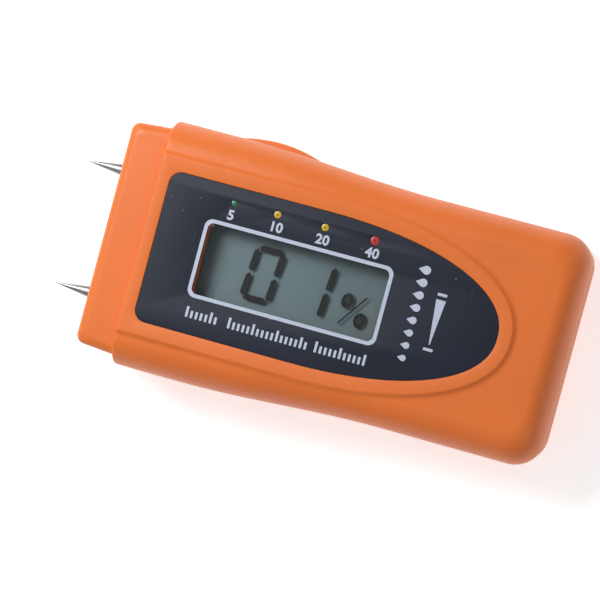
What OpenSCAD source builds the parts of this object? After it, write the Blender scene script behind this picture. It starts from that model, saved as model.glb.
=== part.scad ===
// Pocket two-pin moisture meter, lying on its back with the display facing up.
// +X runs from the pins to the butt, +Y is towards the top of the display, and Z = 0 is the
// surface that the meter rests on. X = 0 is half way along the case, without the pins.

/* [Case] */
// Length of the case from the front of the neck to the butt
case_length = 94; // [92:1:98]
// Thickness of the case at the raised face
case_thickness = 25.2; // [25:0.1:26]
// Width of the case behind the neck
head_width = 49.8; // [49:0.2:52]
// Width of the case at the butt
butt_width = 46; // [45:0.5:48]
// Length of the neck that a protective cap pushes over
neck_length = 8; // [7.5:0.5:9]
// Width of the neck where it meets the case
neck_width = 46.2; // [45.6:0.2:47.6]
// How much narrower the neck is at its front
neck_taper = 1.1; // [0.6:0.1:1.6]
// Thickness of the case walls
wall = 2; // [1.8:0.1:2.2]
// Height of the joint between the two halves of the case
parting_z = 16.5; // [16.4:0.1:16.8]

/* [Face] */
// Height of the raised face above the rest of the top
face_step = 0.6; // [0.4:0.1:0.8]
// Width of the raised face
face_width = 35.7; // [35:0.1:37]
// Width of the label
label_width = 30.1; // [29:0.1:31]
// Depth of the recess that the label lies in
label_recess = 0.35; // [0.3:0.05:0.45]
// Thickness of the label film
label_thickness = 0.25; // [0.2:0.05:0.3]
// Length of the display window
window_length = 36.7; // [34:0.1:37.5]
// Height of the display window on the face
window_height = 14.2; // [13:0.1:14.8]

/* [Probe pins] */
// Distance between the axes of the two pins
pin_spacing = 25.4; // [24:0.2:27]
// Height of the pin axes above the rest surface
pin_z = 12; // [11.6:0.1:12.4]
// How far the pins stand out of the neck
pin_reach = 9.4; // [8:0.2:12]
// Diameter of the parallel part of a pin
pin_diameter = 2.25; // [2:0.05:2.4]
// Length of the sharpened cone
cone_length = 7; // [5:0.5:7.5]

/* [Power button] */
// Length of the button along the side of the case
button_length = 16.4; // [14:0.2:17]
// Height of the button across the side of the case
button_height = 7.4; // [6:0.2:7.4]
// How far the crown of the button stands out of the side
button_crown = 1.2; // [0.8:0.1:1.6]

/* [Battery] */
// Diameter of a coin cell
cell_diameter = 20; // [19.5:0.1:20]
// Thickness of a coin cell
cell_thickness = 3.2; // [3:0.1:3.2]
// Length of the battery door
door_length = 36; // [34:0.5:38]
// Width of the battery door between its two tongues
door_width = 24.8; // [24:0.2:26]

/* [Hidden] */

$fn = 48;
orange = "darkorange";
slip = 0.1;                                  // gap round a sliding piece
thin = 0.05;                                 // gap round a piece that is dropped in
cut = 1;                                     // how far a cutter runs past a surface

// Case outline
front_x = -case_length / 2;
butt_x = case_length / 2;
shoulder_x = front_x + neck_length;
head_half = head_width / 2;
butt_half = butt_width / 2;
waist_start = -26;
waist_end = 16;
butt_corner = 6;
shoulder_corner = 1;
shoulder_edge = 0.6;
rear_roll = 4;
rest_rise = 0.2;                             // how far the rest domes stand out of the back
rest_places = [[-33, 0], [33, 17], [33, -17]];
rest_dome_radius = 5.5;
top_z = case_thickness - face_step;
roll_start = 17;
side_roll = 6;
butt_roll = 5;
overrun = 0.3;
side_steps = 16;
corner_step = 15;

// Neck
neck_top = case_thickness - 2.2;
neck_bottom = 2;
neck_corner = 1.8;
neck_edge = 2;
neck_front_half = (neck_width - neck_taper) / 2;
neck_back_half = neck_width / 2;
neck_inner_half = neck_front_half - wall;
detent_height = 0.4;
detent_radius = 1.7;
detent_x = front_x + 3.6;

// Face, label and window
face_nose = 36.1;
face_slope = 0.8;
curve_start = -5;
curve_power = 2.2;
label_front = shoulder_x + 2.9;
label_nose = 33.4;
label_corner = 2.4;
label_z = case_thickness - label_recess;
window_x = -8;
window_corner = 1.2;
pane_thickness = 1;
skirt_wall = 0.7;

// Indicator lamps: name of the colour, place along X and diameter of the visible spot
lamp_y = 11.9;
lamp_x = [-22.6, -13.7, -4.1, 5.9];
lamp_spot = [1, 1.4, 1.4, 1.7];
lamp_color = ["green", "gold", "gold", "red"];
led_radius = 1.5;
led_collar = 1;
led_height = 4.5;

// Inside spaces
ceiling_z = case_thickness - label_recess - 2.25;
side_wall = wall + 0.2;
ledge_z = 20;
roof_inset = 4;
lip_depth = 1.2;
lip_width = 0.9;
lip_inner = side_wall + slip + lip_width;

// Main board
board_z = 15.8;
board_thickness = 1.6;
board_top = board_z + board_thickness;
board_front = front_x + 3.5;
board_back = 35.4;
board_half = 15.2;
board_wide_half = 19.2;
board_wide = [-29, 33];
board_screw_places = [[-26.5, 17], [-26.5, -17], [29.5, 17], [29.5, -17]];
board_screw_radius = 0.8;

// Parts soldered under the board
controller_size = [10, 8, 1.5];
amplifier_size = [5, 4, 1.4];
leg_size = [0.4, 1.6, 0.7];
resistor_size = [1.2, 2, 0.5];
capacitor_size = [1.3, 2, 0.8];
chip_pitch = 2.4;
trimmer_size = [4, 4, 2.4];
trimmer_slot = [2, 0.5, 1];

// Display module
glass_size = [40, 19];
glass_thickness = 1.8;
glass_z = 19.8;
holder_wall = 0.6;
holder_top = ceiling_z - thin;
skirt_z = glass_z + glass_thickness + thin;
skirt_room = [window_length, window_height] / 2 + [skirt_wall + thin, skirt_wall + thin];
strip_size = [36, 1.8];
strip_y = 8.5;
reflector_thickness = 0.2;

// Screws that hold the two halves of the case together
case_screw_places = [[-33, 18.4], [-33, -18.4], [38.5, 16.4], [38.5, -16.4]];
case_screw_radius = 1.1;
case_screw_head = [2.1, 1.5];                // radius and height
case_screw_seat = 2.2;
case_screw_tip = 20;
thread_room = 0.5;
boss_radius = 2.8;
post_radius = 2;
cross_recess = [2.2, 0.5, 1.2];
board_screw_head = [1.5, 1.1];
board_screw_grip = 3.6;

// Probe pins and their sockets
pin_root_radius = 1.5;
pin_root_end = front_x + 10;
socket_radius = 3;
socket_front = front_x + wall + thin;
socket_back = front_x + 10.5;
socket_leg = [0.6, 1.6];
socket_leg_x = front_x + 7;
cradle_half = 4;
cradle_length = 9;

// Power button and its switch
button_x = -18;
button_top = parting_z - slip;
button_bottom = button_top - button_height;
stem_half = [2, 1.2];
flange_y = [20.6, 22];
flange_margin = 1;
switch_y = [14.2, 17.8];
switch_half = 3;
switch_height = 3.6;
plunger_size = [2.4, 1.4];
plunger_y = [17, 19];
plunger_z = board_z - 1.8;

// Battery compartment
cell_x = 24;
cell_z = 1.9;
cell_cap = [8.6, 0.6];                       // radius and height of a cell's negative side
pocket_radius = cell_diameter / 2 + 0.4;
pocket_roof = cell_z + 3 * cell_thickness + 0.5;
roof_thickness = 1.2;
pocket_wall = 1.3;
door_z = [0.15, 1.7];
grip_count = 4;
grip_gap = 2.4;
grip_length = 16;
grip_radius = 0.5;
grip_x = butt_x - 12;
tongue_width = 0.9;
tongue_z = [0.7, 1.3];
door_start = butt_x - door_length;
contact_thickness = 0.3;
contact_width = 4;
contact_radius = 6;

// A closed skin over a stack of rings that all have the same number of points
module skin(rings) {
    count = len(rings[0]);
    last = len(rings) - 1;
    walls = [
        for (level = [0:last - 1], i = [0:count - 1])
            let (j = (i + 1) % count, low = level * count, high = low + count)
            each [[low + i, high + i, high + j], [low + i, high + j, low + j]]
    ];
    floor_face = [for (i = [0:count - 1]) i];
    roof_face = [for (i = [count - 1:-1:0]) last * count + i];
    polyhedron(points = [for (ring = rings) each ring], faces = concat(walls, [floor_face, roof_face]));
}

function lift(outline, z) = [for (p = outline) [p.x, p.y, z]];

function arc(center, radius, from, to, step = corner_step) =
    [for (a = [from:step:to]) center + radius * [cos(a), sin(a)]];

function mirrored(side) = [for (i = [len(side) - 1:-1:0]) [side[i].x, -side[i].y]];

// Half of the case's width at a place along its length, with its gentle waist
function half_width(x) =
    x <= waist_start ? head_half
    : x >= waist_end ? butt_half
    : butt_half + (head_half - butt_half)
        * (1 + cos(180 * (x - waist_start) / (waist_end - waist_start))) / 2;

// Outline of the case, drawn in from its sides, butt and shoulder. It runs anticlockwise.
function case_outline(side_in, butt_in, front_in) =
    let (
        corner = butt_corner - min(side_in, butt_in) / 3,
        first_x = shoulder_x + front_in + shoulder_corner,
        last_x = butt_x - butt_in - corner,
        side = [
            for (i = [0:side_steps])
                let (x = first_x + (last_x - first_x) * i / side_steps)
                [x, side_in - half_width(x)]
        ],
        front = arc([first_x, shoulder_corner - head_half + side_in], shoulder_corner, 180, 255),
        butt = arc([last_x, corner - butt_half + side_in], corner, 285, 360),
        lower = concat(front, side, butt)
    )
    concat(lower, mirrored(lower));

// How far the shoulder's edge is rounded back at a height
function shoulder_round(z) =
    let (rise = max(0, z - (top_z - shoulder_edge)))
    shoulder_edge - sqrt(max(0, shoulder_edge * shoulder_edge - rise * rise));

// The outside of the case behind the neck, without its raised face. The skin runs a little past its
// flat rear and top, which are then cut level.
module case_body() {
    rear_rings = [
        for (a = [15:15:90])
            let (inset = rear_roll * (1 - sin(a)), z = rest_rise + rear_roll * (1 - cos(a)))
            lift(case_outline(inset, inset, 0), z)
    ];
    top_rings = [
        for (a = [0:10:80])
            let (inset = 1 - cos(a), z = roll_start + (top_z - roll_start) * sin(a))
            lift(case_outline(side_roll * inset, butt_roll * inset, shoulder_round(z)), z)
    ];
    rear_end = lift(case_outline(rear_roll + overrun, rear_roll + overrun, 0),
                    rest_rise - overrun / 2);
    top_end = lift(case_outline(side_roll + overrun, butt_roll + overrun, shoulder_edge),
                   top_z + overrun / 2);
    intersection() {
        skin(concat([rear_end], rear_rings, top_rings, [top_end]));
        block([front_x, -head_width, rest_rise], [butt_x + cut, head_width, top_z]);
    }
}

// Three low domes on the back that the meter rests on
module rest_domes() {
    intersection() {
        at_places(rest_places)
            translate([0, 0, rest_dome_radius])
                sphere(rest_dome_radius);
        block([front_x, -head_half, -cut], [butt_x, head_half, rest_rise + wall / 2]);
    }
}

// Outline of the neck, drawn in by an inset. It reaches back into the case.
function neck_outline(inset) =
    let (
        corner_center = [front_x + neck_corner + inset, neck_corner - neck_front_half + inset],
        back = [shoulder_x + wall, inset - neck_back_half],
        lower = concat(arc(corner_center, neck_corner, 180, 270), [back])
    )
    concat(lower, mirrored(lower));

// The outside of the neck
module neck_body() {
    low_rings = [
        for (a = [0:15:90])
            lift(neck_outline(neck_edge * (1 - sin(a))), neck_bottom + neck_edge * (1 - cos(a)))
    ];
    high_rings = [
        for (a = [0:15:90])
            lift(neck_outline(neck_edge * (1 - cos(a))), neck_top - neck_edge * (1 - sin(a)))
    ];
    skin(concat(low_rings, high_rings));
}

// Bullet-shaped outline of the face: square towards the neck and curved towards the butt
function bullet(front, half, nose, corner) =
    let (
        reach = nose - curve_start,
        curve = [
            for (a = [-90:5:90])
                [curve_start + reach * pow(cos(a), 2 / curve_power),
                 half * sign(a) * pow(abs(sin(a)), 2 / curve_power)]
        ],
        upper = arc([front + corner, half - corner], corner, 90, 180),
        lower = arc([front + corner, corner - half], corner, 180, 270)
    )
    concat(curve, upper, lower);

// The raised face. Each of its levels is a height and how far the outline stands out there.
module face_body() {
    levels = [
        [top_z - cut, face_slope], [top_z - face_slope / 4, face_slope],
        [top_z + face_step / 2, face_slope * 0.6],
        [top_z + face_step * 0.85, face_slope / 4], [case_thickness, 0]
    ];
    skin([
        for (level = levels)
            lift(bullet(shoulder_x + shoulder_edge - level.y / 4, face_width / 2 + level.y,
                        face_nose + level.y, shoulder_edge), level.x)
    ]);
}

module outer_shape() {
    case_body();
    neck_body();
    face_body();
    rest_domes();
}

module rounded_rectangle(size, corner) {
    inner = size / 2 - [corner, corner];
    polygon(concat(
        arc(inner, corner, 0, 90),
        arc([-inner.x, inner.y], corner, 90, 180),
        arc(-inner, corner, 180, 270),
        arc([inner.x, -inner.y], corner, 270, 360)
    ));
}

// A straight-sided space inside the case
module inner_space(inset, low, high) {
    translate([0, 0, low])
        linear_extrude(high - low)
            polygon(case_outline(inset, inset, inset));
}

// The space inside the neck, open to the case behind it
module neck_space(low, high) {
    translate([front_x + wall, -neck_inner_half, low])
        cube([neck_length + wall, 2 * neck_inner_half, high - low]);
}

module at_places(places) {
    for (place = places)
        translate([place.x, place.y, 0])
            children();
}

module tube(radius, low, high) {
    translate([0, 0, low])
        cylinder(r = radius, h = high - low);
}

module block(low, high) {
    translate(low)
        cube(high - low);
}

// Space that the power button and its flange need in the walls
module button_cutout(low) {
    block(
        [button_x - button_length / 2 - slip, flange_y[1] - cut, low],
        [button_x + button_length / 2 + slip, head_half + 2 * cut, parting_z + cut]
    );
}

module front_case() {
    color(orange)
        difference() {
            union() {
                difference() {
                    intersection() {
                        outer_shape();
                        block([front_x - cut, -head_width, parting_z],
                              [butt_x + cut, head_width, 2 * top_z]);
                    }
                    inner_space(lip_inner, parting_z - cut, ledge_z);
                    inner_space(roof_inset, ledge_z - cut, ceiling_z);
                    neck_space(parting_z - cut, neck_top - wall);
                }
                front_lip();
                intersection() {
                    at_places(case_screw_places) tube(boss_radius, parting_z, ceiling_z + wall / 2);
                    inner_space(wall / 2, 0, case_thickness);
                }
                at_places(board_screw_places) tube(post_radius, board_top, ceiling_z + wall / 2);
                window_prism(2 * skirt_wall, skirt_z, ceiling_z + wall / 2);
            }
            translate([0, 0, label_z])
                linear_extrude(cut)
                    polygon(bullet(label_front - thin, label_width / 2 + thin, label_nose + thin,
                                   label_corner));
            window_prism(2 * slip, skirt_z - cut, case_thickness + cut);
            for (x = lamp_x)
                translate([x, lamp_y, 0])
                    tube(led_radius + slip, ceiling_z - cut, label_z + cut);
            at_places(case_screw_places)
                tube(case_screw_radius + 0.02, parting_z - cut, case_screw_tip + thread_room);
            at_places(board_screw_places)
                tube(board_screw_radius + 0.02, board_top - cut, board_top + board_screw_grip + slip);
        }
}

// Upright prism with the outline of the display window, its length and height larger by a margin
module window_prism(margin, low, high) {
    translate([window_x, 0, low])
        linear_extrude(high - low)
            rounded_rectangle([window_length + margin, window_height + margin], window_corner);
}

// Locating lip that drops inside the rear case, with gaps for the button and the bosses
module front_lip() {
    difference() {
        inner_space(lip_inner - lip_width, parting_z - lip_depth, parting_z + 0.5);
        inner_space(lip_inner, parting_z - cut - lip_depth, ledge_z);
        block([front_x, -head_half, 0], [shoulder_x + wall + 6, head_half, case_thickness]);
        block([button_x - 10, 0, 0], [button_x + 10, head_half, case_thickness]);
        at_places(case_screw_places) tube(boss_radius + slip, 0, case_thickness);
    }
}

module rear_case() {
    color(orange)
        difference() {
            union() {
                difference() {
                    intersection() {
                        outer_shape();
                        block([front_x - cut, -head_width, -cut], [butt_x + cut, head_width, parting_z]);
                    }
                    inner_space(side_wall, wall, parting_z + cut);
                    neck_space(neck_bottom + wall, parting_z + cut);
                }
                cap_detents();
                at_places(case_screw_places) tube(boss_radius, wall / 2, parting_z);
                tube_pocket();
                socket_cradles();
            }
            at_places(case_screw_places) {
                tube(case_screw_radius + 0.2, 0, parting_z + cut);
                tube(case_screw_head[0] + 0.2, -cut, case_screw_seat);
            }
            translate([cell_x, 0, 0]) tube(pocket_radius, -cut, pocket_roof);
            contact_slots();
            door_space();
            button_cutout(button_bottom - slip);
            for (side = [-1, 1])
                translate([front_x - cut, side * pin_spacing / 2, pin_z])
                    rotate([0, 90, 0])
                        cylinder(r = pin_root_radius + thin, h = wall + 2 * cut);
        }
}

// Small ridges on the sides of the neck that a cap snaps over
module cap_detents() {
    for (side = [-1, 1])
        translate([detent_x, side * (neck_front_half + 0.25 + detent_height - detent_radius), pin_z - 2])
            cylinder(r = detent_radius, h = 4);
}

// Round wall and roof round the coin cells
module tube_pocket() {
    translate([cell_x, 0, 0])
        tube(pocket_radius + pocket_wall, wall / 2, pocket_roof + roof_thickness);
}

module contact_slots() {
    block([cell_x - 0.5, -contact_width / 2 - slip, pocket_roof - cut],
          [cell_x + 0.5, contact_width / 2 + slip, pocket_roof + 2 * roof_thickness]);
    block([cell_x - pocket_radius - 0.5, -contact_width / 2 - slip, wall + cut],
          [cell_x - pocket_radius + 0.5, contact_width / 2 + slip, pocket_roof + 2 * roof_thickness]);
}

// Half-round seats for the two probe sockets
module socket_cradles() {
    for (side = [-1, 1])
        translate([0, side * pin_spacing / 2, 0])
            difference() {
                block([front_x + wall + cut, -cradle_half, neck_bottom + cut],
                      [front_x + cradle_length, cradle_half, pin_z]);
                translate([front_x, 0, pin_z])
                    rotate([0, 90, 0])
                        cylinder(r = socket_radius + thin, h = 12);
            }
}

// Recess and grooves that the battery door slides in, open at the butt
module door_space() {
    half = door_width / 2 + slip;
    block([door_start - slip, -half, -cut], [butt_x + cut, half, door_z[1] + slip]);
    block([door_start - slip, -half - tongue_width, tongue_z[0] - slip],
          [butt_x + cut, half + tongue_width, tongue_z[1] + slip]);
}

module battery_door() {
    half = door_width / 2;
    color(orange)
        intersection() {
            outer_shape();
            difference() {
                union() {
                    block([door_start, -half, door_z[0]], [butt_x + cut, half, door_z[1]]);
                    block([door_start, -half - tongue_width, tongue_z[0]],
                          [butt_x + cut, half + tongue_width, tongue_z[1]]);
                }
                for (i = [0:grip_count - 1])
                    translate([grip_x + i * grip_gap, 0, door_z[0]])
                        rotate([90, 0, 0])
                            cylinder(r = grip_radius, h = grip_length, center = true);
            }
        }
}

module power_button() {
    half = button_length / 2;
    crown = [
        for (i = [0:16])
            let (t = i / 8 - 1, x = button_x + half * t)
            [x, half_width(x) + button_crown * (1 - t * t)]
    ];
    color(orange) {
        translate([0, 0, button_bottom])
            linear_extrude(button_height)
                polygon(concat([[button_x + half, flange_y[1]], [button_x - half, flange_y[1]]], crown));
        block([button_x - half - flange_margin, flange_y[0], button_bottom - flange_margin],
              [button_x + half + flange_margin, flange_y[1], button_top]);
        block([button_x - stem_half.x, plunger_y[1] + thin, plunger_z - stem_half.y],
              [button_x + stem_half.x, flange_y[0], plunger_z + stem_half.y]);
    }
}

module face_label() {
    color("darkslategray")
        translate([0, 0, label_z])
            linear_extrude(label_thickness)
                difference() {
                    polygon(bullet(label_front, label_width / 2, label_nose, label_corner));
                    translate([window_x, 0])
                        rounded_rectangle([window_length, window_height], window_corner);
                    for (i = [0:3])
                        translate([lamp_x[i], lamp_y])
                            circle(r = lamp_spot[i] / 2 + 0.02);
                }
}

module display_window() {
    color("lightcyan", 0.4)
        window_prism(slip, label_z - pane_thickness, label_z);
}

// Coloured spot in the label over one lamp
module lens(i) {
    color(lamp_color[i])
        translate([lamp_x[i], lamp_y, 0])
            tube(lamp_spot[i] / 2, label_z, label_z + label_thickness);
}

// Round indicator lamp standing on the board
module led(i) {
    color(lamp_color[i])
        translate([lamp_x[i], lamp_y, 0]) {
            tube(led_radius + 0.2, board_top, board_top + led_collar);
            tube(led_radius, board_top, board_top + led_height);
            translate([0, 0, board_top + led_height])
                sphere(r = led_radius);
        }
}

module lcd_glass() {
    color("darkseagreen")
        translate([window_x, 0, glass_z + glass_thickness / 2])
            cube([glass_size.x, glass_size.y, glass_thickness], center = true);
}

module lcd_reflector() {
    color("silver")
        translate([window_x, 0, glass_z - reflector_thickness / 2])
            cube([glass_size.x - 2, 2 * strip_y - strip_size.y - 1, reflector_thickness], center = true);
}

// Frame that holds the display glass and its two contact strips on the board
module lcd_holder() {
    outer = glass_size + 2 * [holder_wall, holder_wall];
    color("whitesmoke")
        translate([window_x, 0, 0])
            difference() {
                block([-outer.x / 2, -outer.y / 2, board_top], [outer.x / 2, outer.y / 2, holder_top]);
                block([-glass_size.x / 2 - thin, -glass_size.y / 2 - thin, board_top - cut],
                      [glass_size.x / 2 + thin, glass_size.y / 2 + thin, glass_z + glass_thickness]);
                block([-skirt_room.x, -skirt_room.y, glass_z],
                      [skirt_room.x, skirt_room.y, holder_top + cut]);
            }
}

module zebra_strip(side) {
    color("dimgray")
        translate([window_x, side * strip_y, (board_top + glass_z) / 2])
            cube([strip_size.x, strip_size.y, glass_z - board_top], center = true);
}

module main_board() {
    color("darkgreen")
        difference() {
            union() {
                block([board_front, -board_half, board_z], [board_back, board_half, board_top]);
                block([board_wide[0], -board_wide_half, board_z],
                      [board_wide[1], board_wide_half, board_top]);
            }
            at_places(board_screw_places) tube(board_screw_radius + 0.2, board_z - cut, board_top + cut);
            for (side = [-1, 1])
                translate([socket_leg_x, side * pin_spacing / 2, board_z + board_thickness / 2])
                    cube([socket_leg.x + 0.2, socket_leg.y + 0.2, board_thickness + cut], center = true);
        }
}

// Flat package soldered under the board, with a row of legs on two sides
module chip(place, size, legs, pitch) {
    color("black")
        translate([place.x, place.y, board_z - 0.1 - size.z / 2])
            cube(size, center = true);
    color("silver")
        for (side = [-1, 1], i = [0:legs - 1])
            translate([place.x + (i - (legs - 1) / 2) * pitch, place.y + side * size.y / 2,
                       board_z - leg_size.z / 2])
                cube(leg_size, center = true);
}

module controller_chip() {
    chip([-4, 0], controller_size, 10, 0.9);
}

module amplifier_chip() {
    chip([-24, -4], amplifier_size, 4, 1.27);
}

module chip_resistors() {
    color("black")
        for (i = [0:2], y = [-10, 6])
            translate([-16 + chip_pitch * i, y, board_z - resistor_size.z / 2])
                cube(resistor_size, center = true);
}

module chip_capacitors() {
    color("tan")
        for (i = [0:2])
            translate([-30 + chip_pitch * i, 6, board_z - capacitor_size.z / 2])
                cube(capacitor_size, center = true);
}

// Small adjuster that sets the zero of the circuit
module calibration_trimmer() {
    color("steelblue")
        translate([-30, -10, board_z])
            difference() {
                translate([0, 0, -trimmer_size.z / 2])
                    cube(trimmer_size, center = true);
                translate([0, 0, -trimmer_size.z])
                    cube(trimmer_slot, center = true);
            }
}

module switch_body() {
    color("dimgray")
        difference() {
            block([button_x - switch_half, switch_y[0], board_z - switch_height],
                  [button_x + switch_half, switch_y[1], board_z]);
            translate([button_x, switch_y[1], plunger_z])
                cube([plunger_size.x + 2 * slip, 3.2, plunger_size.y + 2 * slip], center = true);
        }
}

module switch_plunger() {
    color("black")
        block([button_x - plunger_size.x / 2, plunger_y[0], plunger_z - plunger_size.y / 2],
              [button_x + plunger_size.x / 2, plunger_y[1], plunger_z + plunger_size.y / 2]);
}

// Needle with a sharpened end and a thicker root that is held in the socket
module probe_pin(side) {
    tip = 0.08;
    profile = [
        [0, pin_root_end], [pin_root_radius, pin_root_end], [pin_root_radius, front_x],
        [pin_diameter / 2, front_x], [pin_diameter / 2, front_x - pin_reach + cone_length],
        [tip, front_x - pin_reach], [0, front_x - pin_reach]
    ];
    color("silver")
        translate([0, side * pin_spacing / 2, pin_z])
            rotate([0, 90, 0])
                rotate_extrude()
                    polygon(profile);
}

// Brass socket with a leg that is soldered through the board
module probe_socket(side) {
    color("gold")
        translate([0, side * pin_spacing / 2, 0]) {
            difference() {
                translate([socket_front, 0, pin_z])
                    rotate([0, 90, 0])
                        cylinder(r = socket_radius, h = socket_back - socket_front);
                translate([socket_front - cut, 0, pin_z])
                    rotate([0, 90, 0])
                        cylinder(r = pin_root_radius + 0.02, h = pin_root_end - socket_front + cut + thin);
            }
            block([socket_leg_x - socket_leg.x / 2, -socket_leg.y / 2, pin_z + 2],
                  [socket_leg_x + socket_leg.x / 2, socket_leg.y / 2, board_top + 0.8]);
        }
}

// One cell of the stack, counted from the door, with its negative side towards the board
module coin_cell(i) {
    color("silver")
        translate([cell_x, 0, cell_z + i * cell_thickness]) {
            tube(cell_diameter / 2, 0, cell_thickness - cell_cap[1]);
            tube(cell_cap[0], 0, cell_thickness);
        }
}

// Contact plate on the end of the stack, with a tail up to the board
module battery_contact_end() {
    low = cell_z + 3 * cell_thickness;
    color("gold")
        translate([cell_x, 0, 0]) {
            tube(contact_radius, low, low + contact_thickness);
            block([-contact_thickness / 2, -contact_width / 2, low],
                  [contact_thickness / 2, contact_width / 2, board_z]);
        }
}

// Contact strip that touches the side of the stack
module battery_contact_side() {
    outer_x = cell_x - pocket_radius;
    color("gold")
        block([outer_x, -contact_width / 2, wall + 2 * cut],
              [outer_x + contact_thickness, contact_width / 2, board_z]);
}

// Cross-headed screw, standing head down at the origin
module screw(radius, head, seat, tip) {
    difference() {
        union() {
            tube(head[0], seat - head[1], seat);
            tube(radius, seat - 0.1, tip);
        }
        for (turn = [0, 90])
            translate([0, 0, seat - head[1]])
                rotate([0, 0, turn])
                    cube(cross_recess, center = true);
    }
}

module case_screws() {
    color("silver")
        at_places(case_screw_places)
            screw(case_screw_radius, case_screw_head, case_screw_seat, case_screw_tip);
}

module board_screws() {
    color("silver")
        at_places(board_screw_places)
            screw(board_screw_radius, board_screw_head, board_z, board_top + board_screw_grip);
}

front_case();
rear_case();
battery_door();
power_button();
face_label();
display_window();
lens(0);  // lens_green
lens(1);  // lens_yellow_low
lens(2);  // lens_yellow_high
lens(3);  // lens_red
lcd_glass();
lcd_reflector();
lcd_holder();
zebra_strip(1);  // zebra_strip_upper
zebra_strip(-1);  // zebra_strip_lower
main_board();
controller_chip();
amplifier_chip();
chip_resistors();
chip_capacitors();
calibration_trimmer();
led(0);  // led_green
led(1);  // led_yellow_low
led(2);  // led_yellow_high
led(3);  // led_red
switch_body();
switch_plunger();
probe_pin(1);  // probe_pin_upper
probe_pin(-1);  // probe_pin_lower
probe_socket(1);  // probe_socket_upper
probe_socket(-1);  // probe_socket_lower
coin_cell(0);  // coin_cell_outer
coin_cell(1);  // coin_cell_middle
coin_cell(2);  // coin_cell_inner
battery_contact_end();
battery_contact_side();
case_screws();
board_screws();
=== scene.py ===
import math

import bmesh
import bpy
import numpy as np
from mathutils import Matrix, Vector


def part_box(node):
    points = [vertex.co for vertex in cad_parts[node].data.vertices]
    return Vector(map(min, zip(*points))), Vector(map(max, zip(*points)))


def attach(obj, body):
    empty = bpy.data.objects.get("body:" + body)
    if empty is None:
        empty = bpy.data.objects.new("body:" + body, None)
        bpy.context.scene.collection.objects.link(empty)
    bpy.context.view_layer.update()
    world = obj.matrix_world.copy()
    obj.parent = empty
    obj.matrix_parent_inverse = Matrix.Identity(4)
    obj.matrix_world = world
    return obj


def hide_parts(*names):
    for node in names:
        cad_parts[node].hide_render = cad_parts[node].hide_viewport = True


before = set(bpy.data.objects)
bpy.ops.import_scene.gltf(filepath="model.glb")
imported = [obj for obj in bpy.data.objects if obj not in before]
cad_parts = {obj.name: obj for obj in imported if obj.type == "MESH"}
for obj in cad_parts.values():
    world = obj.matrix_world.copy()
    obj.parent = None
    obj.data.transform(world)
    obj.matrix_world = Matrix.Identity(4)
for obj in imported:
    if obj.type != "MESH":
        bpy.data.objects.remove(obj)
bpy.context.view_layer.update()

MM = 0.001
SCENE = bpy.context.scene


def box_mm(node):
    """Lowest and highest corner of a CAD node, in millimetres."""
    low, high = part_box(node)
    return low / MM, high / MM


# ---------------- places taken from the frame

FRONT_LOW, FRONT_HIGH = box_mm("front_case")
REAR_LOW, REAR_HIGH = box_mm("rear_case")
LABEL_LOW, LABEL_HIGH = box_mm("face_label")
PANE_LOW, PANE_HIGH = box_mm("display_window")
BUTTON_LOW, BUTTON_HIGH = box_mm("power_button")
DOOR_LOW, DOOR_HIGH = box_mm("battery_door")
GLASS_LOW, GLASS_HIGH = box_mm("lcd_glass")

FRONT_X = FRONT_LOW.x
BUTT_X = FRONT_HIGH.x
HEAD_HALF = FRONT_HIGH.y
FACE_Z = FRONT_HIGH.z
PARTING_Z = REAR_HIGH.z
WINDOW_X = (PANE_LOW.x + PANE_HIGH.x) / 2
WINDOW_SIZE = (PANE_HIGH.x - PANE_LOW.x - 0.1, PANE_HIGH.y - PANE_LOW.y - 0.1)

# ---------------- sizes of the moulded case

NECK_LENGTH = 8
SHOULDER_X = FRONT_X + NECK_LENGTH
NECK_FRONT_HALF = 22.55
NECK_BACK_HALF = 23.1
NECK_BOTTOM = 2
NECK_TOP = FACE_Z - 2.2
NECK_CORNER = 1.8
NECK_EDGE = 2
BUTT_HALF = 23
WAIST = (-26, 16)
BUTT_CORNER = 6
SHOULDER_CORNER = 0.6
SHOULDER_EDGE = 0.85
REAR_ROLL = 4
REST_RISE = 0.2
REST_PLACES = [(-33, 0), (33, 17), (33, -17)]
REST_RADIUS = 5.5
FACE_STEP = 0.6
TOP_Z = FACE_Z - FACE_STEP
ROLL_START = 17
SIDE_ROLL = 6
BUTT_ROLL = 5
WALL = 2
SIDE_WALL = 2.2
CEILING_Z = 22.6
LIFT_START_Z = 20
SEAM = 0.16
SEAM_BEVEL = [(SEAM, 0), (SEAM * 0.3, SEAM * 0.3), (0, SEAM)]
FACE_HALF = 17.85
FACE_NOSE = 36.05
FACE_RIM = 0.2
FACE_FOOT = 1.5
CURVE_START = -5
CURVE_POWER = 2.2
LABEL_CORNER = 2.4
WINDOW_CORNER = 1.2
SKIRT_WALL = 0.7
PIN_Y = 12.7
PIN_Z = 12
CELL_X = 24
CELL_RADIUS = 10
POCKET_RADIUS = 10.4
POCKET_WALL = 1.3
POCKET_ROOF = 12
BOARD_TOP = 17.4
SKIRT_Z = 21.65
LAMP_Y = 11.9
LAMP_X = (-22.6, -13.7, -4.1, 5.9)
LAMP_SPOT = (1, 1.4, 1.4, 1.7)
NUMBERS = {"5": -22.6, "10": -13.4, "20": -4.0, "40": 6.0}
NUMBER_Y = 9.4
LENS_NODES = ("lens_green", "lens_yellow_low", "lens_yellow_high", "lens_red")
FILM_Z = GLASS_LOW.z + 0.6
DIGIT_Z = GLASS_HIGH.z - 0.4
CASE_SCREWS = [(-33, 18.4), (-33, -18.4), (38.5, 16.4), (38.5, -16.4)]
BOARD_SCREWS = [(-26.5, 17), (-26.5, -17), (29.5, 17), (29.5, -17)]
BOSS_RADIUS = 2.8
POST_RADIUS = 2
CASE_PILOT_RADIUS = 1.12
BOARD_PILOT_RADIUS = 0.82
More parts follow.
